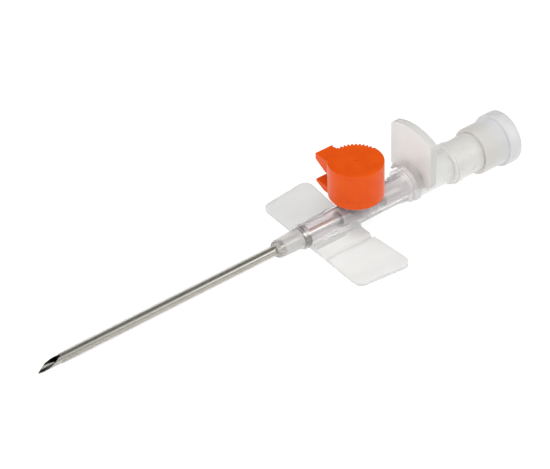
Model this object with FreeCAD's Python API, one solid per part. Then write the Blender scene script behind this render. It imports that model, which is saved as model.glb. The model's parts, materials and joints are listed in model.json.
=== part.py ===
"""Ported and winged intravenous cannula, 2.1 mm catheter, with its introducer needle in place.

Lengths are in millimetres. The model is drawn from the tip of the hub's nose, with x along
the catheter towards the tail, y towards the far wing and z up from the catheter's axis.
place() then moves each piece into the part's own frame: x = 0 is half-way along the whole
device, y = 0 is its middle plane and z = 0 is the lowest point, under the stopper's rim.
"""

import FreeCAD, Part
import math
import os

from FreeCAD import Vector

# Catheter and needle
CATHETER_OD = 2.1
CATHETER_BORE = 1.7
CATHETER_REACH = 44.6           # from the hub's nose to the catheter's tip
CATHETER_TIP_OD = 1.82
CATHETER_TAPER = 2.2
CATHETER_SEAT_OD = 1.98          # drawn down a little inside the hub's nose
CATHETER_SEAT_TAPER = 0.55
NEEDLE_OD = 1.6
NEEDLE_BORE = 1.3
NEEDLE_BARE = 4.4               # needle in front of the catheter's tip
BEVEL_LENGTH = 4.2
LANCET_ANGLE = 30.0             # degrees between the needle and each side grind of the point
LANCET_TURN = 38.0              # degrees that each side grind is rolled about the needle
NEEDLE_IN_CHAMBER = 1.6         # needle behind the needle hub's cone seat

# Catheter wedge, the metal funnel that holds the catheter in the hub
FLARE_START = 5.0
FLARE_LENGTH = 0.5
FLARE_RISE = 0.5
WEDGE_TAIL = 1.4
WEDGE_MOUTH_WALL = 0.2

# Hub
NOSE_TIP_R = 1.5
NOSE_LIP = 0.45
NOSE_SWELL_R = 1.74
NOSE_REAR_R = 1.98
NOSE_LENGTH = 5.5
RIDGE_LENGTH = 0.9
RIDGE_R = 2.36
BODY_FRONT_R = 2.12
BODY_R = 2.7
BODY_FRONT_TAPER = 6.4
HUB_BORE_R = 1.9
SOCKET_SWELL = 2.8              # length over which the rear tube swells to the socket
SOCKET_R = 3.15
MOUTH_X = 31.0
MOUTH_BEAD = 1.0
MOUTH_BEAD_R = 3.4
LUER_R = 2.15                   # radius of a 6 percent cone socket at its mouth
LUER_TAPER = 0.03               # loss of radius per length, 6 percent on the diameter
LUER_DEPTH = 7.5
LUER_LUG_R = 3.92
LUER_LUG_WIDTH = 2.6
LUER_LUG_LENGTH = 1.3

# Wings
WING_FRONT_X = 7.5
WING_ROOT_CHORD = 10.7
WING_TIP_CHORD = 11.6
WING_SPAN_FRONT = 14.6          # half span at the front corner
WING_SPAN_REAR = 15.9           # half span at the rear corner
WING_TOP_Z = -2.6
WING_THICKNESS = 0.75
WING_CORNER_R = 1.7
FOLD_Y = 5.1
FOLD_GAP = 0.1                  # between strip and wing at the bottom of the fold's groove
FOLD_GROOVE = 1.3               # width of the groove at its top
SADDLE_HALF_WIDTH = 2.2
SADDLE_LENGTH = 6.9

# Port tower and its silicone valve
PORT_TO_MOUTH = 12.4            # from the port's axis back to the rear socket's mouth
TOWER_R = 2.95
TOWER_FOOT_R = 3.6
TOWER_BORE_DEPTH = 5.0
TOWER_BEAD_R = 3.14
TOWER_BEAD_HEIGHT = 0.4
PORT_HOLE_R = 1.2
VALVE_FRONT = 4.2               # valve in front of the port's axis
VALVE_REAR_GAP = 1.5            # between the valve and the bottom of the rear socket
VALVE_WALL = 0.55
VALVE_CLEARANCE = 0.02

# Port cap: a ring that turns on the tower, and a lid on a living hinge
CAP_BOTTOM_Z = 4.0
RING_HEIGHT = 1.4
CAP_HEIGHT = 7.3
CAP_R = 5.22
CAP_SPLIT = 0.04
CAP_TOP_CHAMFER = 0.1
SKIRT_INNER_R = 4.2
LID_TOP = 1.2
RUNNING = 0.04                  # running clearance between the ring and the tower
PLUG_R = 2.08
PLUG_TIP_R = 1.0
PLUG_DEPTH = 0.85
SPRUE_R = 0.28
SPRUE_HEIGHT = 0.15
LUG_NEAR = -4.2                 # lug's edges from the port's axis, along x
LUG_FAR = -0.35
LUG_OUT = 6.5                   # lug's outer edge from the port's axis, along y
UPPER_LUG_EDGE = 1.3
UPPER_LUG_ROOT = 2.8
LOWER_LUG_EDGE = 0.45
GRIP_COUNT = 10
GRIP_PITCH = 8.35               # degrees
GRIP_FIRST = 13.4               # degrees from +x
GRIP_LAND = 0.12                # width left on each tooth between two notches
GRIP_DEPTH = 0.6
GRIP_HEIGHT = 1.0

# Needle hub with its thumb plate
PLATE_GAP = 0.5                 # between the socket's mouth and the plate
PLATE_THICKNESS = 1.6
PLATE_HALF_WIDTH = 5.6
PLATE_BOTTOM_Z = 1.2
PLATE_SHOULDER_Z = 11.1
PLATE_TOP_Z = 12.4
PLATE_CORNER_R = 1.0
SHROUD_LENGTH = 1.2             # half ring on the plate's front that stands over the socket's mouth
SHROUD_R = 4.6
SHROUD_CLEARANCE = 0.18         # between the shroud and the socket's lugs
SHROUD_BOTTOM_Z = 1.5
CONE_CLEARANCE = 0.02
CONE_SHORT = 0.6                # the cone stops this far before the bottom of its socket
GRIP_BODY_R = 3.24
GRIP_BODY_LENGTH = 8.4
SPIGOT_R = 2.75
SPIGOT_LENGTH = 2.5
FLASH_BORE_R = 2.1
CONE_SEAT = 2.6                 # solid length behind the plate that holds the needle

# Flash chamber
CHAMBER_R = 3.9
CHAMBER_WALL = 0.6
CHAMBER_LENGTH = 6.9
CHAMBER_BEAD_R = 4.15
CHAMBER_BEAD_START = 0.6
CHAMBER_BEAD_LENGTH = 1.2
NECK_R = 3.2
NECK_LENGTH = 5.2

# Stopper and its vent filter
STOPPER_GAP = 0.1
COLLAR_R = 4.76
COLLAR_LENGTH = 5.6
COLLAR_CLEARANCE = 0.1
RIM_R = 5.4
RIM_LENGTH = 2.7
RIM_DISH_R = 4.1
RIM_DISH_DEPTH = 1.0
STOPPER_CONE_SHORT = 0.4        # the stopper's cone stops this far before the end of its socket
FILTER_R = 1.25
FILTER_LENGTH = 2.4
FILTER_CLEARANCE = 0.02
VENT_R = 0.5

# Places along the axis that several pieces share
NEEDLE_TIP_X = -(CATHETER_REACH + NEEDLE_BARE)
FLARE_END_X = FLARE_START + FLARE_LENGTH
WEDGE_END_X = FLARE_END_X + WEDGE_TAIL
BODY_FRONT_X = NOSE_LENGTH + RIDGE_LENGTH
LUER_BOTTOM_X = MOUTH_X - LUER_DEPTH
SOCKET_START = MOUTH_X - MOUTH_BEAD - SOCKET_SWELL
PORT_X = MOUTH_X - PORT_TO_MOUTH
PLATE_X = MOUTH_X + PLATE_GAP
CHAMBER_X = PLATE_X + GRIP_BODY_LENGTH
NECK_X = CHAMBER_X + CHAMBER_LENGTH
NECK_END_X = NECK_X + NECK_LENGTH
CAVITY_END_X = NECK_X - CHAMBER_WALL
COLLAR_X = NECK_X + STOPPER_GAP
RIM_X = COLLAR_X + COLLAR_LENGTH
TAIL_X = RIM_X + RIM_LENGTH
MIDDLE_X = (NEEDLE_TIP_X + TAIL_X) / 2
WING_BOTTOM_Z = WING_TOP_Z - WING_THICKNESS
CAP_TOP_Z = CAP_BOTTOM_Z + CAP_HEIGHT
RING_TOP_Z = CAP_BOTTOM_Z + RING_HEIGHT
LID_BOTTOM_Z = RING_TOP_Z + CAP_SPLIT
TOWER_TOP_Z = CAP_TOP_Z - LID_TOP - CAP_SPLIT

X_AXIS = Vector(1, 0, 0)
Z_AXIS = Vector(0, 0, 1)


def turned(profile):
    """Solid of revolution about the catheter's axis from (x, radius) points."""
    points = [Vector(x, 0, r) for x, r in profile]
    face = Part.Face(Part.makePolygon(points + points[:1]))
    return face.revolve(Vector(0, 0, 0), X_AXIS, 360)


def turned_upright(profile):
    """Solid of revolution about the port's axis from (radius, z) points."""
    points = [Vector(PORT_X + r, 0, z) for r, z in profile]
    face = Part.Face(Part.makePolygon(points + points[:1]))
    return face.revolve(Vector(PORT_X, 0, 0), Z_AXIS, 360)


def rod(start, end, radius):
    """Cylinder along the catheter's axis."""
    return Part.makeCylinder(radius, end - start, Vector(start, 0, 0), X_AXIS)


def block(low, high):
    """Box between two opposite corners."""
    size = Vector(*high) - Vector(*low)
    return Part.makeBox(size.x, size.y, size.z, Vector(*low))


def prism(points, direction):
    """Straight solid on a flat outline of points."""
    corners = [Vector(*point) for point in points]
    return Part.Face(Part.makePolygon(corners + corners[:1])).extrude(Vector(*direction))


def luer_lugs(end_x):
    """Two lugs, on the left and right, that a locking collar's thread catches."""
    ring = rod(end_x - LUER_LUG_LENGTH, end_x, LUER_LUG_R)
    half = LUER_LUG_WIDTH / 2
    bar = block((end_x - LUER_LUG_LENGTH, -LUER_LUG_R, -half), (end_x, LUER_LUG_R, half))
    return ring.common(bar)


def luer_hole(bottom_x, mouth_x):
    """Hollow of a 6 percent socket that opens towards the tail."""
    bottom_r = LUER_R - LUER_TAPER * (mouth_x - bottom_x)
    return turned([(bottom_x, 0), (bottom_x, bottom_r), (mouth_x, LUER_R), (mouth_x, 0)])


def catheter_tube():
    """Thin tube with a tapered tip and a rear end flared over the wedge."""
    outer = CATHETER_OD / 2
    seat_r = CATHETER_SEAT_OD / 2
    bore = CATHETER_BORE / 2
    tip = -CATHETER_REACH
    return turned([
        (tip, bore),
        (tip, CATHETER_TIP_OD / 2),
        (tip + CATHETER_TAPER, outer),
        (0, outer),
        (CATHETER_SEAT_TAPER, seat_r),
        (FLARE_START, seat_r),
        (FLARE_END_X, seat_r + FLARE_RISE),
        (FLARE_END_X, bore + FLARE_RISE),
        (FLARE_START, bore),
    ])


def catheter_wedge():
    """Metal funnel pressed into the hub, which also guides the needle."""
    bore = NEEDLE_OD / 2 + RUNNING
    cone_r = CATHETER_BORE / 2
    lead = FLARE_LENGTH * 0.2
    slope = FLARE_RISE / FLARE_LENGTH
    return turned([
        (FLARE_START + lead, bore),
        (FLARE_START + lead, cone_r + lead * slope),
        (FLARE_END_X, cone_r + FLARE_RISE),
        (FLARE_END_X, HUB_BORE_R),
        (WEDGE_END_X, HUB_BORE_R),
        (WEDGE_END_X, HUB_BORE_R - WEDGE_MOUTH_WALL),
        (FLARE_END_X, bore),
    ])


def hub_shell():
    """Outside of the hub: nose, ridge, body, rear tube and port tower."""
    nose = turned([
        (0, 0),
        (0, NOSE_TIP_R),
        (NOSE_LIP, NOSE_SWELL_R),
        (NOSE_LENGTH, NOSE_REAR_R),
        (NOSE_LENGTH, 0),
    ])
    ridge = rod(NOSE_LENGTH, BODY_FRONT_X, RIDGE_R)
    body = turned([
        (BODY_FRONT_X, 0),
        (BODY_FRONT_X, BODY_FRONT_R),
        (BODY_FRONT_X + BODY_FRONT_TAPER, BODY_R),
        (SOCKET_START, BODY_R),
        (MOUTH_X - MOUTH_BEAD, SOCKET_R),
        (MOUTH_X - MOUTH_BEAD, MOUTH_BEAD_R),
        (MOUTH_X, MOUTH_BEAD_R),
        (MOUTH_X, 0),
    ])
    foot_top = CAP_BOTTOM_Z - RUNNING
    bead_z = RING_TOP_Z + RUNNING
    tower = turned_upright([
        (0, 0),
        (TOWER_R, 0),
        (TOWER_FOOT_R, BODY_R),
        (TOWER_FOOT_R, foot_top),
        (TOWER_R, foot_top),
        (TOWER_R, bead_z),
        (TOWER_BEAD_R, bead_z),
        (TOWER_R, bead_z + TOWER_BEAD_HEIGHT),
        (TOWER_R, TOWER_TOP_Z),
        (0, TOWER_TOP_Z),
    ])
    return nose.fuse([ridge, body, tower, luer_lugs(MOUTH_X)])


def wing_root():
    """Strip under the hub that both wings fold from, with the saddle that carries the hub."""
    rear = WING_FRONT_X + WING_ROOT_CHORD
    top_y, low_y = fold_edges()
    strip = prism([
        (WING_FRONT_X, -low_y, WING_BOTTOM_Z),
        (WING_FRONT_X, low_y, WING_BOTTOM_Z),
        (WING_FRONT_X, top_y, WING_TOP_Z),
        (WING_FRONT_X, -top_y, WING_TOP_Z),
    ], (WING_ROOT_CHORD, 0, 0))
    half = SADDLE_HALF_WIDTH
    step = WING_FRONT_X + SADDLE_LENGTH
    wide = block((WING_FRONT_X, -half, WING_TOP_Z), (step, half, -BODY_R / 3))
    narrow = half - WING_THICKNESS / 2
    rest = block((step, -narrow, WING_TOP_Z), (rear, narrow, -BODY_R / 3))
    return strip.fuse([wide, rest])


def fold_edges():
    """Half widths of the strip at its top and bottom: each side of the fold's groove leans."""
    return FOLD_Y - FOLD_GROOVE / 2, FOLD_Y - FOLD_GAP / 2


def catheter_hub():
    """Clear moulded hub, hollow from the catheter's seat to the rear socket."""
    seat_r = CATHETER_SEAT_OD / 2
    passage = turned([
        (0, 0),
        (0, CATHETER_OD / 2),
        (CATHETER_SEAT_TAPER, seat_r),
        (FLARE_START, seat_r),
        (FLARE_END_X, seat_r + FLARE_RISE),
        (FLARE_END_X, HUB_BORE_R),
        (LUER_BOTTOM_X, HUB_BORE_R),
        (LUER_BOTTOM_X, 0),
    ])
    bore_bottom = TOWER_TOP_Z - TOWER_BORE_DEPTH
    port = turned_upright([
        (0, 0),
        (PORT_HOLE_R, 0),
        (PORT_HOLE_R, bore_bottom),
        (LUER_R - LUER_TAPER * TOWER_BORE_DEPTH, bore_bottom),
        (LUER_R, TOWER_TOP_Z),
        (0, TOWER_TOP_Z),
    ])
    solid = hub_shell().fuse(wing_root())
    return solid.cut([passage, luer_hole(LUER_BOTTOM_X, MOUTH_X), port]).removeSplitter()


def wing(side):
    """Folding wing; side is -1 for the near one and 1 for the far one."""
    top_y, low_y = fold_edges()
    root_top = 2 * FOLD_Y - top_y
    root_low = 2 * FOLD_Y - low_y
    rear_root = WING_FRONT_X + WING_ROOT_CHORD
    rear_tip = WING_FRONT_X + WING_TIP_CHORD
    sheet = prism([
        (WING_FRONT_X, root_low, WING_BOTTOM_Z),
        (rear_root, root_low, WING_BOTTOM_Z),
        (rear_tip, WING_SPAN_REAR, WING_BOTTOM_Z),
        (WING_FRONT_X, WING_SPAN_FRONT, WING_BOTTOM_Z),
    ], (0, 0, WING_THICKNESS))
    corners = [e for e in sheet.Edges if upright_at(e, WING_SPAN_FRONT - 1)]
    sheet = sheet.makeFillet(WING_CORNER_R, corners)
    groove = prism([
        (WING_FRONT_X - 1, root_low, WING_BOTTOM_Z),
        (WING_FRONT_X - 1, root_top, WING_TOP_Z),
        (WING_FRONT_X - 1, root_low, WING_TOP_Z),
    ], (WING_TIP_CHORD + 2, 0, 0))
    sheet = sheet.cut(groove)
    if side < 0:
        sheet = sheet.mirror(Vector(0, 0, 0), Vector(0, 1, 0))
    return sheet


def upright_at(edge, least_y):
    """True for a vertical edge that lies farther out than least_y."""
    box = edge.BoundBox
    return box.XLength < 1e-6 and box.YLength < 1e-6 and box.YMin > least_y


def port_valve():
    """Silicone sleeve that closes the port's hole from inside the hub."""
    outer = HUB_BORE_R - VALVE_CLEARANCE
    start = PORT_X - VALVE_FRONT
    end = LUER_BOTTOM_X - VALVE_REAR_GAP
    return rod(start, end, outer).cut(rod(start, end, outer - VALVE_WALL))


def lug_prism(side_profile):
    """Lug across the cap's lug edges from (y, z) points, y from the port's axis."""
    start = PORT_X + LUG_NEAR
    return prism([(start, y, z) for y, z in side_profile], (LUG_FAR - LUG_NEAR, 0, 0))


def port_cap_ring():
    """Ring that turns between the tower's foot and bead, with the lower lug."""
    inner = TOWER_R + RUNNING
    ring = turned_upright([
        (inner, CAP_BOTTOM_Z),
        (CAP_R, CAP_BOTTOM_Z),
        (CAP_R, RING_TOP_Z),
        (inner, RING_TOP_Z),
    ])
    lug = lug_prism([
        (inner, RING_TOP_Z),
        (LUG_OUT, RING_TOP_Z),
        (LUG_OUT, RING_TOP_Z - LOWER_LUG_EDGE),
        (CAP_R - 1, CAP_BOTTOM_Z),
        (inner, CAP_BOTTOM_Z),
    ])
    hole = Part.makeCylinder(inner, RING_HEIGHT, Vector(PORT_X, 0, CAP_BOTTOM_Z), Z_AXIS)
    return ring.fuse(lug).cut(hole).removeSplitter()


def port_cap_lid():
    """Cup over the tower with a plug, an upper lug and a serrated edge."""
    shell = turned_upright([
        (SKIRT_INNER_R, LID_BOTTOM_Z),
        (CAP_R, LID_BOTTOM_Z),
        (CAP_R, CAP_TOP_Z - CAP_TOP_CHAMFER),
        (CAP_R - CAP_TOP_CHAMFER, CAP_TOP_Z),
        (SPRUE_R, CAP_TOP_Z),
        (SPRUE_R, CAP_TOP_Z + SPRUE_HEIGHT),
        (0, CAP_TOP_Z + SPRUE_HEIGHT),
        (0, TOWER_TOP_Z - PLUG_DEPTH),
        (PLUG_TIP_R, TOWER_TOP_Z - PLUG_DEPTH),
        (PLUG_R, CAP_TOP_Z - LID_TOP),
        (SKIRT_INNER_R, CAP_TOP_Z - LID_TOP),
    ])
    lug = lug_prism([
        (0, CAP_TOP_Z - CAP_TOP_CHAMFER / 2),
        (LUG_OUT, CAP_TOP_Z - CAP_TOP_CHAMFER / 2),
        (LUG_OUT, CAP_TOP_Z - UPPER_LUG_EDGE),
        (CAP_R - 1.5, CAP_TOP_Z - UPPER_LUG_ROOT),
        (0, CAP_TOP_Z - UPPER_LUG_ROOT),
    ])
    inside_h = CAP_TOP_Z - LID_BOTTOM_Z
    inside_r = (SKIRT_INNER_R + CAP_R) / 2
    inside = Part.makeCylinder(inside_r, inside_h, Vector(PORT_X, 0, LID_BOTTOM_Z), Z_AXIS)
    lug = lug.cut(inside)
    notches = [grip_notch(GRIP_FIRST + i * GRIP_PITCH) for i in range(GRIP_COUNT)]
    return shell.fuse(lug).cut(notches).removeSplitter()


def grip_notch(angle):
    """Three-sided cutter for one notch in the lid's upper edge."""
    half = (CAP_R * math.radians(GRIP_PITCH) - GRIP_LAND) / 2
    bottom = CAP_TOP_Z - GRIP_HEIGHT
    outer = CAP_R + 1
    depth_r = CAP_R - GRIP_DEPTH
    spread = half * (outer - depth_r) / GRIP_DEPTH
    cutter = prism([
        (PORT_X + depth_r, 0, bottom),
        (PORT_X + outer, -spread, bottom),
        (PORT_X + outer, spread, bottom),
    ], (0, 0, GRIP_HEIGHT + SPRUE_HEIGHT))
    cutter.rotate(Vector(PORT_X, 0, 0), Z_AXIS, angle)
    return cutter


def introducer_needle():
    """Hollow steel needle with a long bevel that faces up and two side grinds."""
    outer = NEEDLE_OD / 2
    end = PLATE_X + CONE_SEAT + NEEDLE_IN_CHAMBER
    tube = rod(NEEDLE_TIP_X, end, outer).cut(rod(NEEDLE_TIP_X, end, NEEDLE_BORE / 2))
    tube = tube.cut(grind(NEEDLE_OD / BEVEL_LENGTH, 0))
    lancet_slope = math.tan(math.radians(LANCET_ANGLE))
    for roll in (-LANCET_TURN, LANCET_TURN):
        tube = tube.cut(grind(lancet_slope, roll))
    return tube


def grind(slope, roll):
    """All that lies above a slope through the needle's point, rolled about the needle."""
    point_z = -NEEDLE_OD / 2 * math.cos(math.radians(roll))
    run = 2 * NEEDLE_OD / slope
    wedge = prism([
        (NEEDLE_TIP_X - 1, -NEEDLE_OD, point_z - slope),
        (NEEDLE_TIP_X + run, -NEEDLE_OD, point_z + slope * run),
        (NEEDLE_TIP_X - 1, -NEEDLE_OD, point_z + slope * run),
    ], (0, 2 * NEEDLE_OD, 0))
    wedge.rotate(Vector(0, 0, 0), X_AXIS, roll)
    return wedge


def thumb_plate():
    """Upright push plate with an arched top and rounded corners."""
    y = PLATE_HALF_WIDTH
    left = Vector(PLATE_X, -y, PLATE_SHOULDER_Z)
    right = Vector(PLATE_X, y, PLATE_SHOULDER_Z)
    arch = Part.Arc(left, Vector(PLATE_X, 0, PLATE_TOP_Z), right).toShape()
    low_left = Vector(PLATE_X, -y, PLATE_BOTTOM_Z)
    low_right = Vector(PLATE_X, y, PLATE_BOTTOM_Z)
    sides = [
        arch,
        Part.makeLine(right, low_right),
        Part.makeLine(low_right, low_left),
        Part.makeLine(low_left, left),
    ]
    plate = Part.Face(Part.Wire(sides)).extrude(Vector(PLATE_THICKNESS, 0, 0))
    corners = [e for e in plate.Edges if is_along_x(e)]
    return plate.makeFillet(PLATE_CORNER_R, corners)


def shroud():
    """Half ring on the plate's front, open below, over the mouth of the hub's socket."""
    start = PLATE_X - SHROUD_LENGTH
    inner = LUER_LUG_R + SHROUD_CLEARANCE
    ring = rod(start, PLATE_X, SHROUD_R).cut(rod(start, PLATE_X, inner))
    low = (start, -SHROUD_R, SHROUD_BOTTOM_Z)
    return ring.common(block(low, (PLATE_X, SHROUD_R, SHROUD_R)))


def is_along_x(edge):
    """True for a straight edge parallel to the catheter's axis."""
    box = edge.BoundBox
    return box.YLength < 1e-6 and box.ZLength < 1e-6


def needle_hub():
    """Cone that seats in the hub's socket, the grip body, the spigot and the thumb plate."""
    cone_tip_x = LUER_BOTTOM_X + CONE_SHORT
    tip_r = LUER_R - LUER_TAPER * (MOUTH_X - cone_tip_x) - CONE_CLEARANCE
    root_r = LUER_R + LUER_TAPER * PLATE_GAP - CONE_CLEARANCE
    spigot_end = CHAMBER_X + SPIGOT_LENGTH
    body = turned([
        (cone_tip_x, 0),
        (cone_tip_x, tip_r),
        (PLATE_X, root_r),
        (PLATE_X, GRIP_BODY_R),
        (CHAMBER_X, GRIP_BODY_R),
        (CHAMBER_X, SPIGOT_R),
        (spigot_end, SPIGOT_R),
        (spigot_end, 0),
    ])
    seat_end = PLATE_X + CONE_SEAT
    flash_bore = rod(seat_end, spigot_end, FLASH_BORE_R)
    needle_hole = rod(cone_tip_x, seat_end, NEEDLE_OD / 2)
    solid = body.fuse([thumb_plate(), shroud()])
    return solid.cut([flash_bore, needle_hole]).removeSplitter()


def flash_chamber():
    """Clear chamber on the needle hub's spigot, with a rear socket and lugs for the stopper."""
    cavity_start = CHAMBER_X + SPIGOT_LENGTH
    cavity_r = CHAMBER_R - CHAMBER_WALL
    bead_start = CHAMBER_X + CHAMBER_BEAD_START
    body = turned([
        (CHAMBER_X, SPIGOT_R),
        (CHAMBER_X, CHAMBER_R),
        (bead_start, CHAMBER_R),
        (bead_start, CHAMBER_BEAD_R),
        (bead_start + CHAMBER_BEAD_LENGTH, CHAMBER_BEAD_R),
        (bead_start + CHAMBER_BEAD_LENGTH, CHAMBER_R),
        (NECK_X, CHAMBER_R),
        (NECK_X, NECK_R),
        (NECK_END_X, NECK_R),
        (NECK_END_X, 0),
        (CAVITY_END_X, 0),
        (CAVITY_END_X, cavity_r),
        (cavity_start, cavity_r),
        (cavity_start, SPIGOT_R),
    ])
    socket = luer_hole(CAVITY_END_X, NECK_END_X)
    return body.fuse(luer_lugs(NECK_END_X)).cut(socket).removeSplitter()


def luer_stopper():
    """Screw-on stopper: locking collar, hollow cone and a rim to hold it by."""
    collar_inner = LUER_LUG_R + COLLAR_CLEARANCE
    cone_tip_x = CAVITY_END_X + STOPPER_CONE_SHORT
    tip_r = LUER_R - LUER_TAPER * (NECK_END_X - cone_tip_x) - CONE_CLEARANCE
    root_r = LUER_R + LUER_TAPER * (RIM_X - NECK_END_X) - CONE_CLEARANCE
    filter_end = cone_tip_x + FILTER_LENGTH
    dish_x = TAIL_X - RIM_DISH_DEPTH
    return turned([
        (cone_tip_x, FILTER_R + FILTER_CLEARANCE),
        (cone_tip_x, tip_r),
        (RIM_X, root_r),
        (RIM_X, collar_inner),
        (COLLAR_X, collar_inner),
        (COLLAR_X, COLLAR_R),
        (RIM_X, COLLAR_R),
        (RIM_X, RIM_R),
        (TAIL_X, RIM_R),
        (TAIL_X, RIM_DISH_R),
        (dish_x, RIM_DISH_R),
        (dish_x, VENT_R),
        (filter_end + FILTER_CLEARANCE, VENT_R),
        (filter_end + FILTER_CLEARANCE, FILTER_R + FILTER_CLEARANCE),
    ])


def vent_filter():
    """Porous plug in the stopper's cone, which lets air out of the flash chamber."""
    start = CAVITY_END_X + STOPPER_CONE_SHORT
    return rod(start, start + FILTER_LENGTH, FILTER_R)


def place(name, shape):
    """Move a piece into the part's frame and write it."""
    shape.translate(Vector(-MIDDLE_X, 0, RIM_R))
    if not shape.isValid() or len(shape.Solids) != 1:
        raise ValueError(f"{name} is not one sound solid")
    shape.Solids[0].exportStep(f"parts/{name}.step")
    box = shape.BoundBox
    print(f"{name}: {shape.Volume:.2f} mm3, {len(shape.Faces)} faces, "
          f"x {box.XMin:.2f} to {box.XMax:.2f}, z {box.ZMin:.2f} to {box.ZMax:.2f}")


def main():
    os.makedirs("parts", exist_ok=True)
    place("catheter_tube", catheter_tube())
    place("catheter_wedge", catheter_wedge())
    place("catheter_hub", catheter_hub())
    place("port_valve", port_valve())
    place("wing_near", wing(-1))
    place("wing_far", wing(1))
    place("port_cap_ring", port_cap_ring())
    place("port_cap_lid", port_cap_lid())
    place("introducer_needle", introducer_needle())
    place("needle_hub", needle_hub())
    place("flash_chamber", flash_chamber())
    place("vent_filter", vent_filter())
    place("luer_stopper", luer_stopper())


main()
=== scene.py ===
"""Looks of the cannula: plastics, steel, orange cap, film hinges, floor, lights and camera."""
import json
import math

import bmesh
import bpy
from mathutils import Matrix, Vector


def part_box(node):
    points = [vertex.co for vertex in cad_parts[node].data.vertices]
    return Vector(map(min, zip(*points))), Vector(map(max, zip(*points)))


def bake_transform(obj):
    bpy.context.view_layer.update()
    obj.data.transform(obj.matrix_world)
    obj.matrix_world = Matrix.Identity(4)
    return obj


MM = 0.001

# Camera, fitted to the outline in the photograph
CAMERA_AZIMUTH = -34.2          # degrees
CAMERA_ELEVATION = 39.2         # degrees
CAMERA_ROLL = -3.25             # degrees
CAMERA_DISTANCE = 269.7 * MM
CAMERA_TARGET = Vector((-3.0, 0.0, 9.0)) * MM
CAMERA_LENS = 99.0              # millimetres
SENSOR_WIDTH = 36.0             # millimetres
CLIP_START = 10.0 * MM

# Room: pale, dimmer towards the horizon, with a dark part behind the object, which the steel
# mirrors as its dark lines
DARK_SIDE = Vector((0.42, 0.66, 0.62)).normalized()
DARK_STARTS = 0.5               # cosine of the angle from the dark side
DARK_FULL = 0.72
ROOM_PALE = (0.88, 0.88, 0.88)
ROOM_DARK = (0.02, 0.02, 0.02)
HORIZON_TOP = 0.35              # sine of the elevation up to which the room is dimmer
HORIZON_SHARE = 0.35            # of the light that comes from higher up
FLOOR_HALF = 1.5                # metres
FLOOR_GLOW = 0.7

# Area lights that face the origin: place and sides in metres, power in watts. The front one
# gives the bright line along the needle.
SOFTBOXES = {
    "overhead": ((-0.12, 0.0, 0.55), (0.4, 0.4), 1.55),
    "left": ((-0.45, 0.25, 0.3), (0.15, 0.5), 0.3),
    "right": ((0.35, -0.35, 0.3), (0.15, 0.5), 0.35),
    "front": ((0.253, -0.427, 0.3), (0.22, 0.1), 0.13),
}

# Living hinges
FILM_THICKNESS = 0.18 * MM
FILM_OVERLAP = 0.12 * MM
STRAP_HALF_WIDTH = 1.3 * MM
STRAP_HALF_HEIGHT = 0.16 * MM
STRAP_DEPTH = 0.3 * MM
BEND_STEPS = 8

# Rounding of the sharp edges
ROUNDED_NODES = ("wing_near", "wing_far", "luer_stopper", "needle_hub")
EDGE_ROUNDING = 0.12 * MM
EDGE_TURN = 35.0                # degrees
WELD_DISTANCE = 0.0005 * MM

# Noise: the levels between which it is used, its detail, and how it is drawn out along the device
NOISE_LOW = 0.3
NOISE_HIGH = 0.7
NOISE_DETAIL = 3.0
MOULD_FLOW = (0.3, 1, 1)
DRAWN_LINES = (0.06, 1, 1)

# Sockets of the mix node that carry colours; the ones for plain numbers have the same names
MIX_FIRST = 6
MIX_SECOND = 7
MIX_RESULT = 2

# How strongly a surface points along a plate's face direction: the faces do, narrow sides don't
FACE_SLOPE = 0.8
SIDE_SLOPE = 0.5

# Widths over which a tint fades
EDGE_BLEND = 0.1 * MM
SHORT_BLEND = 0.3 * MM
WEB_BLEND = 0.2 * MM            # to each side

# Hub: where it turns milky, and by how much
WEB_RISE = 1.0 * MM             # how far the milky web reaches above the wings
NOSE_LENGTH = 5.5 * MM
NOSE_SHARE = 0.6
LIP_CLEAR = 0.8 * MM            # behind the nose's front, its lip is clear up to here
LIP_MILKY = 1.7 * MM            # and the nose is milky from here on
MOUTH_CLEAR = 1.7 * MM          # before the socket's mouth, the tube is clear up to here
MOUTH_MILKY = 1.2 * MM          # and its bead and lugs are milky from here on
MOUTH_SHARE = 0.45

# Needle hub: soft shade on the plate's front, round the cone
SHADE_OUTER_R = 7.0 * MM
SHADE_INNER_R = 3.8 * MM
SHADE_FULL_X = 0.7 * MM         # behind the socket's mouth, just past the plate's front face
SHADE_END_X = 1.5 * MM          # within the plate
SHADE_SHARE = 0.65
RING_R = 3.4 * MM               # the ring's narrow sides lie beyond this distance from the axis
PLATE_R = 5.0 * MM              # and the plate's beyond this one

# Stopper
COLLAR_LENGTH = 9.2 * MM        # from the stopper's end to its collar's front
WARM_END_X = 3.5 * MM           # behind the collar's front, it is warmer up to here
COOL_START_X = 5.0 * MM         # and plain white from here on
BORE_STARTS = 1.0 * MM          # distance from the axis times how far the surface faces the axis
BORE_FULL = 3.0 * MM
# strength of the painted light on the bore's walls
BORE_PAINTED_LIGHT = 0.12


def joint(name):
    """The record's joint of that name."""
    return next(j for j in frame["record"]["behaviour"]["joints"] if j["name"] == name)


def axis_z():
    """Height of the device's long axis: the stopper is round about it and touches the floor."""
    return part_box("luer_stopper")[1][2] / 2


# Shading nodes. The owner of a node is a material or the world.

def feed(owner, target, inputs):
    """Sets inputs of a node, each to a plain value or from the output of another node."""
    for key, value in inputs.items():
        if isinstance(value, bpy.types.NodeSocket):
            owner.node_tree.links.new(value, target.inputs[key])
        else:
            target.inputs[key].default_value = value


def node(owner, kind, inputs, **settings):
    """New shading node."""
    made = owner.node_tree.nodes.new(kind)
    for name, setting in settings.items():
        setattr(made, name, setting)
    feed(owner, made, inputs)
    return made


def coordinate(owner, output):
    """The texture coordinate of that name."""
    return node(owner, "ShaderNodeTexCoord", {}).outputs[output]


def number(owner, operation, *values):
    """Result of a math node."""
    made = node(owner, "ShaderNodeMath", dict(enumerate(values)), operation=operation)
    return made.outputs["Value"]


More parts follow.
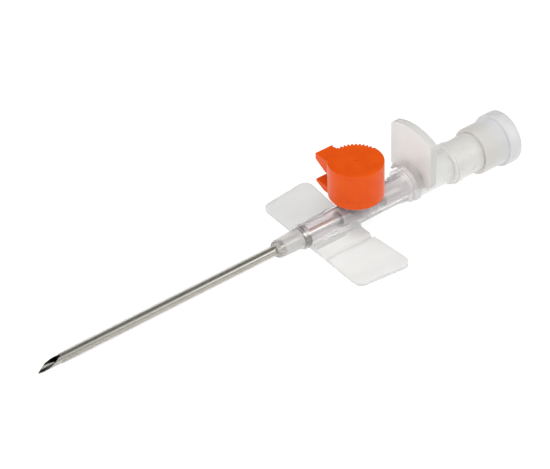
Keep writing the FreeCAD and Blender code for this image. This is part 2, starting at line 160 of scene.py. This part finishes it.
def vector(owner, operation, *values):
    """Result of a vector math node, which is a number for a dot product or a length."""
    made = node(owner, "ShaderNodeVectorMath", dict(enumerate(values)), operation=operation)
    return made.outputs["Value" if operation in ("DOT_PRODUCT", "LENGTH") else "Vector"]


def span(owner, value, start, end, low, high, shape="LINEAR"):
    """A number that runs from low to high while the value runs from start to end."""
    inputs = {"Value": value, "From Min": start, "From Max": end, "To Min": low, "To Max": high}
    return node(owner, "ShaderNodeMapRange", inputs, interpolation_type=shape).outputs["Result"]


def step(owner, value, start, end):
    """0 on start's side, 1 on end's side, and smooth between; start may be the larger one."""
    return span(owner, value, start, end, 0.0, 1.0, "SMOOTHSTEP")


def ramp(owner, value, start, start_tint, end, end_tint):
    """A tint that changes while the value runs from start to end."""
    made = node(owner, "ShaderNodeValToRGB", {"Fac": value})
    stops = made.color_ramp.elements
    stops[0].position = start
    stops[0].color = (*start_tint, 1)
    stops[1].position = end
    stops[1].color = (*end_tint, 1)
    return made.outputs["Color"]


def along(owner, output, direction):
    """A texture coordinate's part along a direction: the place, or the surface's slope."""
    return vector(owner, "DOT_PRODUCT", coordinate(owner, output), direction)


def off_axis(owner):
    """The place measured from the long axis, without its part along that axis."""
    from_axis = vector(owner, "SUBTRACT", coordinate(owner, "Object"), (0, 0, axis_z()))
    return vector(owner, "MULTIPLY", from_axis, (0, 1, 1))


def noise(owner, scale, stretch=(1, 1, 1)):
    """Noise over the piece's own coordinates; scale is in features per millimetre."""
    scales = [s * scale / MM for s in stretch]
    inputs = {"Vector": coordinate(owner, "Object"), "Scale": scales}
    mapped = node(owner, "ShaderNodeMapping", inputs).outputs["Vector"]
    inputs = {"Vector": mapped, "Scale": 1.0, "Detail": NOISE_DETAIL}
    return node(owner, "ShaderNodeTexNoise", inputs).outputs["Fac"]


# Materials

def material(name):
    """New node material."""
    mat = bpy.data.materials.new(name)
    mat.use_nodes = True
    return mat


def main_shader(mat):
    """The material's main shader."""
    return mat.node_tree.nodes["Principled BSDF"]


def set_shader(mat, inputs):
    """Sets inputs of the material's main shader."""
    feed(mat, main_shader(mat), inputs)


def vary_colour(mat, pattern, dark, light):
    """Base colour between two tints, following a noise pattern."""
    set_shader(mat, {"Base Color": ramp(mat, pattern, NOISE_LOW, dark, NOISE_HIGH, light)})


def vary_number(mat, pattern, socket, low, high):
    """A shader number between two values, following a noise pattern."""
    set_shader(mat, {socket: span(mat, pattern, NOISE_LOW, NOISE_HIGH, low, high)})


def tint_where(mat, mask, tint):
    """Blends the base colour towards a tint where the mask is 1."""
    base = main_shader(mat).inputs["Base Color"].links[0].from_socket
    inputs = {"Factor": mask, MIX_FIRST: base, MIX_SECOND: (*tint, 1)}
    mixed = node(mat, "ShaderNodeMix", inputs, data_type="RGBA").outputs[MIX_RESULT]
    set_shader(mat, {"Base Color": mixed})


def painted_edge_shade(mat, face, tint, least_r=0.0):
    """Painted shade: darkens a plate's narrow sides against its faces, beyond a least distance
    from the axis.
    """
    slope = number(mat, "ABSOLUTE", along(mat, "Normal", face))
    side = step(mat, slope, FACE_SLOPE, SIDE_SLOPE)
    outer = step(mat, vector(mat, "LENGTH", off_axis(mat)), least_r, least_r + EDGE_BLEND)
    tint_where(mat, number(mat, "MULTIPLY", side, outer), tint)


def let_light_through(mat, share):
    """Opens a plastic to the lamps, so that it casts only a faint shadow."""
    shadow_ray = node(mat, "ShaderNodeLightPath", {}).outputs["Is Shadow Ray"]
    clear = node(mat, "ShaderNodeBsdfTransparent", {}).outputs["BSDF"]
    inputs = {
        "Fac": number(mat, "MULTIPLY", shadow_ray, share),
        1: main_shader(mat).outputs["BSDF"],
        2: clear,
    }
    mixed = node(mat, "ShaderNodeMixShader", inputs).outputs["Shader"]
    feed(mat, mat.node_tree.nodes["Material Output"], {"Surface": mixed})


def clear_plastic(name, dark, light, rough, see_through):
    """Moulded clear plastic: tinted, slightly uneven, and open to the lamps behind it."""
    mat = material(name)
    vary_colour(mat, noise(mat, scale=0.35, stretch=MOULD_FLOW), dark, light)
    vary_number(mat, noise(mat, scale=0.6), "Roughness", *rough)
    set_shader(mat, {"Transmission Weight": see_through, "IOR": 1.49})
    let_light_through(mat, share=1.0)
    return mat


def milky_plastic(name, dark, light, rough, face, edge):
    """Thin milky plastic: half see-through where it faces the eye, denser at its outline."""
    mat = material(name)
    vary_colour(mat, noise(mat, scale=0.35, stretch=MOULD_FLOW), dark, light)
    vary_number(mat, noise(mat, scale=0.6), "Roughness", *rough)
    facing = node(mat, "ShaderNodeLayerWeight", {"Blend": 0.5}).outputs["Facing"]
    set_shader(mat, {
        "Alpha": span(mat, facing, 0.0, 1.0, face, edge),
        "Subsurface Weight": 0.5,
        "Subsurface Radius": (1, 1, 1),
        "Subsurface Scale": 1.0 * MM,
    })
    let_light_through(mat, share=0.6)
    return mat


def moulded(name, dark, light, rough, grain=3.0, depth=0.02 * MM):
    """Opaque moulded plastic or rubber with a fine grain."""
    mat = material(name)
    vary_colour(mat, noise(mat, scale=0.4), dark, light)
    vary_number(mat, noise(mat, scale=1.5), "Roughness", *rough)
    inputs = {"Strength": 0.2, "Distance": depth, "Height": noise(mat, grain)}
    set_shader(mat, {"Normal": node(mat, "ShaderNodeBump", inputs).outputs["Normal"]})
    return mat


def hub_plastic():
    """Clear hub, milky in its thick nose, in the web under it and at its socket's mouth."""
    see_through, milky = 0.92, 0.35
    mat = clear_plastic("clear_hub_plastic", (0.93, 0.91, 0.92), (0.97, 0.95, 0.96),
                        rough=(0.12, 0.22), see_through=see_through)
    (front, _, _), (mouth, _, _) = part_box("catheter_hub")
    web_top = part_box("wing_near")[1][2] + WEB_RISE
    x = along(mat, "Object", (1, 0, 0))
    z = along(mat, "Object", (0, 0, 1))
    web = step(mat, z, web_top + WEB_BLEND, web_top - WEB_BLEND)
    nose = step(mat, x, front + NOSE_LENGTH, front + NOSE_LENGTH - SHORT_BLEND)
    behind_lip = step(mat, x, front + LIP_CLEAR, front + LIP_MILKY)
    nose = number(mat, "MULTIPLY", number(mat, "MULTIPLY", nose, behind_lip), NOSE_SHARE)
    rim = step(mat, x, mouth - MOUTH_CLEAR, mouth - MOUTH_MILKY)
    rim = number(mat, "MULTIPLY", rim, MOUTH_SHARE)
    mask = number(mat, "MAXIMUM", number(mat, "MAXIMUM", web, nose), rim)
    tint_where(mat, mask, (0.78, 0.78, 0.77))
    set_shader(mat, {"Transmission Weight": span(mat, mask, 0.0, 1.0, see_through, milky)})
    return mat


def wing_plastic():
    """Milky wings with painted shade on their narrow sides."""
    mat = milky_plastic("wing_plastic", (0.67, 0.68, 0.67), (0.71, 0.72, 0.71),
                        rough=(0.3, 0.35), face=0.4, edge=0.8)
    # painted shade on the wings' narrow sides
    painted_edge_shade(mat, (0, 0, 1), (0.50, 0.50, 0.49))
    return mat


def grip_plastic():
    """Milky needle hub with painted shade: darker on its cone, on the plate round it and on the
    narrow sides.
    """
    mat = milky_plastic("grip_plastic", (0.77, 0.77, 0.76), (0.79, 0.79, 0.78),
                        rough=(0.35, 0.4), face=0.5, edge=0.85)
    set_shader(mat, {"Specular IOR Level": 0.25})
    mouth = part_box("catheter_hub")[1][0]
    x = along(mat, "Object", (1, 0, 0))
    # painted shade inside the socket: the cone's tip is darker
    tint_where(mat, step(mat, x, mouth, mouth - SHORT_BLEND), (0.52, 0.50, 0.48))
    # painted shade on the plate's front, round the cone
    near = step(mat, vector(mat, "LENGTH", off_axis(mat)), SHADE_OUTER_R, SHADE_INNER_R)
    front = step(mat, x, mouth + SHADE_END_X, mouth + SHADE_FULL_X)
    mask = number(mat, "MULTIPLY", number(mat, "MULTIPLY", near, front), SHADE_SHARE)
    tint_where(mat, mask, (0.60, 0.58, 0.57))
    # painted shade on the narrow sides of the ring and of the plate
    painted_edge_shade(mat, (1, 0, 0), (0.46, 0.45, 0.44), RING_R)
    painted_edge_shade(mat, (1, 0, 0), (0.58, 0.58, 0.56), PLATE_R)
    return mat


def stopper_plastic():
    """White stopper, warmer towards its cone, with painted light glowing from the walls of its
    open bore.
    """
    mat = milky_plastic("white_plastic", (0.64, 0.64, 0.65), (0.68, 0.68, 0.69),
                        rough=(0.32, 0.42), face=0.6, edge=0.92)
    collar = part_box("luer_stopper")[1][0] - COLLAR_LENGTH
    x = along(mat, "Object", (1, 0, 0))
    warm = step(mat, x, collar + COOL_START_X, collar + WARM_END_X)
    tint_where(mat, warm, (0.66, 0.645, 0.61))
    # painted light: the open bore's walls glow, lifting the shade in the slit at the collar's
    # front
    outward = vector(mat, "DOT_PRODUCT", off_axis(mat), coordinate(mat, "Normal"))
    bore = step(mat, outward, -BORE_STARTS, -BORE_FULL)
    behind = step(mat, x, collar - EDGE_BLEND, collar)
    painted_bore_light = number(mat, "MULTIPLY", number(mat, "MULTIPLY", bore, BORE_PAINTED_LIGHT), behind)
    set_shader(mat, {"Emission Strength": painted_bore_light, "Emission Color": (1, 0.99, 0.97, 1)})
    return mat


def cap_plastic():
    """Satin orange plastic."""
    mat = moulded("orange_plastic", (0.72, 0.075, 0.002), (0.78, 0.094, 0.004), (0.4, 0.5))
    set_shader(mat, {"Specular IOR Level": 0.15, "Sheen Weight": 0.4, "Sheen Roughness": 0.3})
    return mat


def needle_steel():
    """Drawn and polished steel with faint lines along the needle."""
    mat = material("needle_steel")
    lines = noise(mat, scale=0.8, stretch=DRAWN_LINES)
    vary_colour(mat, lines, (0.43, 0.42, 0.385), (0.48, 0.47, 0.43))
    vary_number(mat, lines, "Roughness", 0.07, 0.11)
    set_shader(mat, {"Metallic": 1.0})
    return mat


# Pieces

def paint(name, mat):
    """Gives a CAD node its material."""
    for slot in frame["nodes"][name].material_slots:
        slot.material = mat


def soften(name):
    """Rounds a CAD node's sharp edges a little, without touching its mesh."""
    piece = frame["nodes"][name]
    weld = piece.modifiers.new("weld", "WELD")
    weld.merge_threshold = WELD_DISTANCE
    bevel = piece.modifiers.new("bevel", "BEVEL")
    bevel.width = EDGE_ROUNDING
    bevel.segments = 2
    bevel.limit_method = "ANGLE"
    bevel.angle_limit = math.radians(EDGE_TURN)
    bevel.harden_normals = False


def mesh_piece(name, verts, faces, mat):
    """A new piece from points and faces, in metres, with its faces turned outward."""
    data = bpy.data.meshes.new(name)
    data.from_pydata([tuple(v) for v in verts], [], faces)
    data.materials.append(mat)
    data.validate()
    work = bmesh.new()
    work.from_mesh(data)
    bmesh.ops.recalc_face_normals(work, faces=work.faces)
    work.to_mesh(data)
    work.free()
    piece = bpy.data.objects.new(name, data)
    bpy.context.scene.collection.objects.link(piece)
    return piece


def bending_piece(name, rows, mat):
    """A closed piece from rows of four points, with a face at each end and sides between the
    rows.
    """
    last = 4 * (len(rows) - 1)
    faces = [(3, 2, 1, 0), (last, last + 1, last + 2, last + 3)]
    for i in range(0, last, 4):
        for k in range(4):
            n = (k + 1) % 4
            faces.append((i + k, i + n, i + 4 + n, i + 4 + k))
    return mesh_piece(name, [point for row in rows for point in row], faces, mat)


def wing_films(mat):
    """The thin web under each fold line, from the hub's strip to the wing."""
    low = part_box("wing_far")[0]
    root_z = low[2]
    top_z = root_z + FILM_THICKNESS
    chord, fold, _ = joint("far_wing_fold")["pos_m"]
    gap = low[1] - fold
    inner = fold - gap
    outer = fold + gap
    front = low[0] + FILM_OVERLAP
    rear = 2 * chord - front
    for side, wing, body in ((-1, "near", "near_wing"), (1, "far", "far_wing")):
        start, end = sorted((side * (inner - FILM_OVERLAP), side * (outer + FILM_OVERLAP)))
        rows = []
        for i in range(BEND_STEPS + 1):
            y = start + (end - start) * i / BEND_STEPS
            corners = ((front, root_z), (rear, root_z), (rear, top_z), (front, top_z))
            rows.append([(x, y, z) for x, z in corners])
        piece = bending_piece(f"fold_film_{wing}", rows, mat)
        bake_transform(piece)


def cap_film(mat):
    """The moulded strap between the cap's ring and its lid, on the lug side."""
    hinge = joint("cap_flip")
    centre = Vector(hinge["pos_m"])
    axle = Vector(hinge["axis"]).normalized()
    out = axle.cross(Vector((0, 0, 1)))
    rows = []
    for i in range(BEND_STEPS + 1):
        level = centre + Vector((0, 0, (2 * i / BEND_STEPS - 1) * STRAP_HALF_HEIGHT))
        corners = ((-1, -1), (1, -1), (1, 0), (-1, 0))
        rows.append([level + axle * (a * STRAP_HALF_WIDTH) + out * (b * STRAP_DEPTH)
                     for a, b in corners])
    piece = bending_piece("cap_strap", rows, mat)
    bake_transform(piece)


def dress():
    """Materials for every CAD node, and the pieces that only the looks need."""
    wing = wing_plastic()
    orange = cap_plastic()
    metal = needle_steel()
    looks = {
        "catheter_hub": hub_plastic(),
        "wing_near": wing,
        "wing_far": wing,
        "needle_hub": grip_plastic(),
        "flash_chamber": milky_plastic(
            "milky_plastic", (0.73, 0.72, 0.695), (0.77, 0.76, 0.735),
            rough=(0.25, 0.4), face=0.6, edge=0.85),
        "catheter_tube": milky_plastic(
            "catheter_plastic", (0.47, 0.45, 0.39), (0.55, 0.53, 0.47),
            rough=(0.15, 0.25), face=0.03, edge=0.5),
        "port_cap_ring": orange,
        "port_cap_lid": orange,
        "luer_stopper": stopper_plastic(),
        "port_valve": moulded(
            "silicone_rubber", (0.34, 0.33, 0.33), (0.46, 0.45, 0.45), rough=(0.4, 0.6)),
        "vent_filter": moulded(
            "porous_filter", (0.70, 0.70, 0.68), (0.84, 0.84, 0.82), rough=(0.7, 0.9),
            grain=6.0, depth=0.08 * MM),
        "introducer_needle": metal,
        "catheter_wedge": metal,
    }
    for name, mat in looks.items():
        paint(name, mat)
    for name in ROUNDED_NODES:
        soften(name)
    wing_films(wing)
    cap_film(orange)


# Surroundings

def floor():
    """Plain pale floor."""
    mat = material("floor_paper")
    vary_colour(mat, noise(mat, scale=0.02), (0.44, 0.44, 0.44), (0.46, 0.46, 0.46))
    vary_number(mat, noise(mat, scale=0.1), "Roughness", 0.8, 0.9)
    set_shader(mat, {"Emission Color": (1, 1, 1, 1), "Emission Strength": FLOOR_GLOW})
    h = FLOOR_HALF
    corners = [(-h, -h, 0), (h, -h, 0), (h, h, 0), (-h, h, 0)]
    mesh_piece("floor", corners, [(0, 1, 2, 3)], mat)


def softbox(name, place, sides, power):
    """Rectangular area light that faces the origin."""
    data = bpy.data.lights.new(name, "AREA")
    data.shape = "RECTANGLE"
    data.size, data.size_y = sides
    data.energy = power
    lamp = bpy.data.objects.new(name, data)
    bpy.context.scene.collection.objects.link(lamp)
    lamp.location = place
    lamp.rotation_euler = (-Vector(place)).to_track_quat("-Z", "Y").to_euler()


def lights():
    """The room and the softboxes."""
    world = bpy.data.worlds.new("studio")
    world.use_nodes = True
    bpy.context.scene.world = world
    toward = along(world, "Generated", DARK_SIDE)
    height = along(world, "Generated", (0, 0, 1))
    feed(world, world.node_tree.nodes["Background"], {
        "Color": ramp(world, toward, DARK_STARTS, ROOM_PALE, DARK_FULL, ROOM_DARK),
        "Strength": span(world, height, 0.0, HORIZON_TOP, HORIZON_SHARE, 1.0),
    })
    for name, (place, sides, power) in SOFTBOXES.items():
        softbox(name, place, sides, power)


def camera():
    """The photograph's camera, slightly rolled."""
    azimuth = math.radians(CAMERA_AZIMUTH)
    elevation = math.radians(CAMERA_ELEVATION)
    level = math.cos(elevation)
    back = Vector((math.sin(azimuth) * level, -math.cos(azimuth) * level, math.sin(elevation)))
    data = bpy.data.cameras.new("camera")
    data.lens = CAMERA_LENS
    data.sensor_width = SENSOR_WIDTH
    data.clip_start = CLIP_START
    eye = bpy.data.objects.new("camera", data)
    bpy.context.scene.collection.objects.link(eye)
    turn = back.to_track_quat("Z", "Y").to_matrix()
    turn = turn @ Matrix.Rotation(math.radians(CAMERA_ROLL), 3, "Z")
    eye.matrix_world = Matrix.Translation(CAMERA_TARGET + back * CAMERA_DISTANCE) @ turn.to_4x4()
    bpy.context.scene.camera = eye
    bpy.context.scene.view_settings.view_transform = "Standard"


with open("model.json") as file:
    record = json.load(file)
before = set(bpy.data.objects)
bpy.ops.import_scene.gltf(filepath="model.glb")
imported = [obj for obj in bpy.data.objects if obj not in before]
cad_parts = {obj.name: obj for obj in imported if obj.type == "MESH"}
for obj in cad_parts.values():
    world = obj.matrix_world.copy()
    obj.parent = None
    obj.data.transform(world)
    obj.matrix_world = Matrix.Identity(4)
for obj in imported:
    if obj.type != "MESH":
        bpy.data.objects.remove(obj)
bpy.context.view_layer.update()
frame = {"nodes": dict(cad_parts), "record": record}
dress()
floor()
lights()
camera()
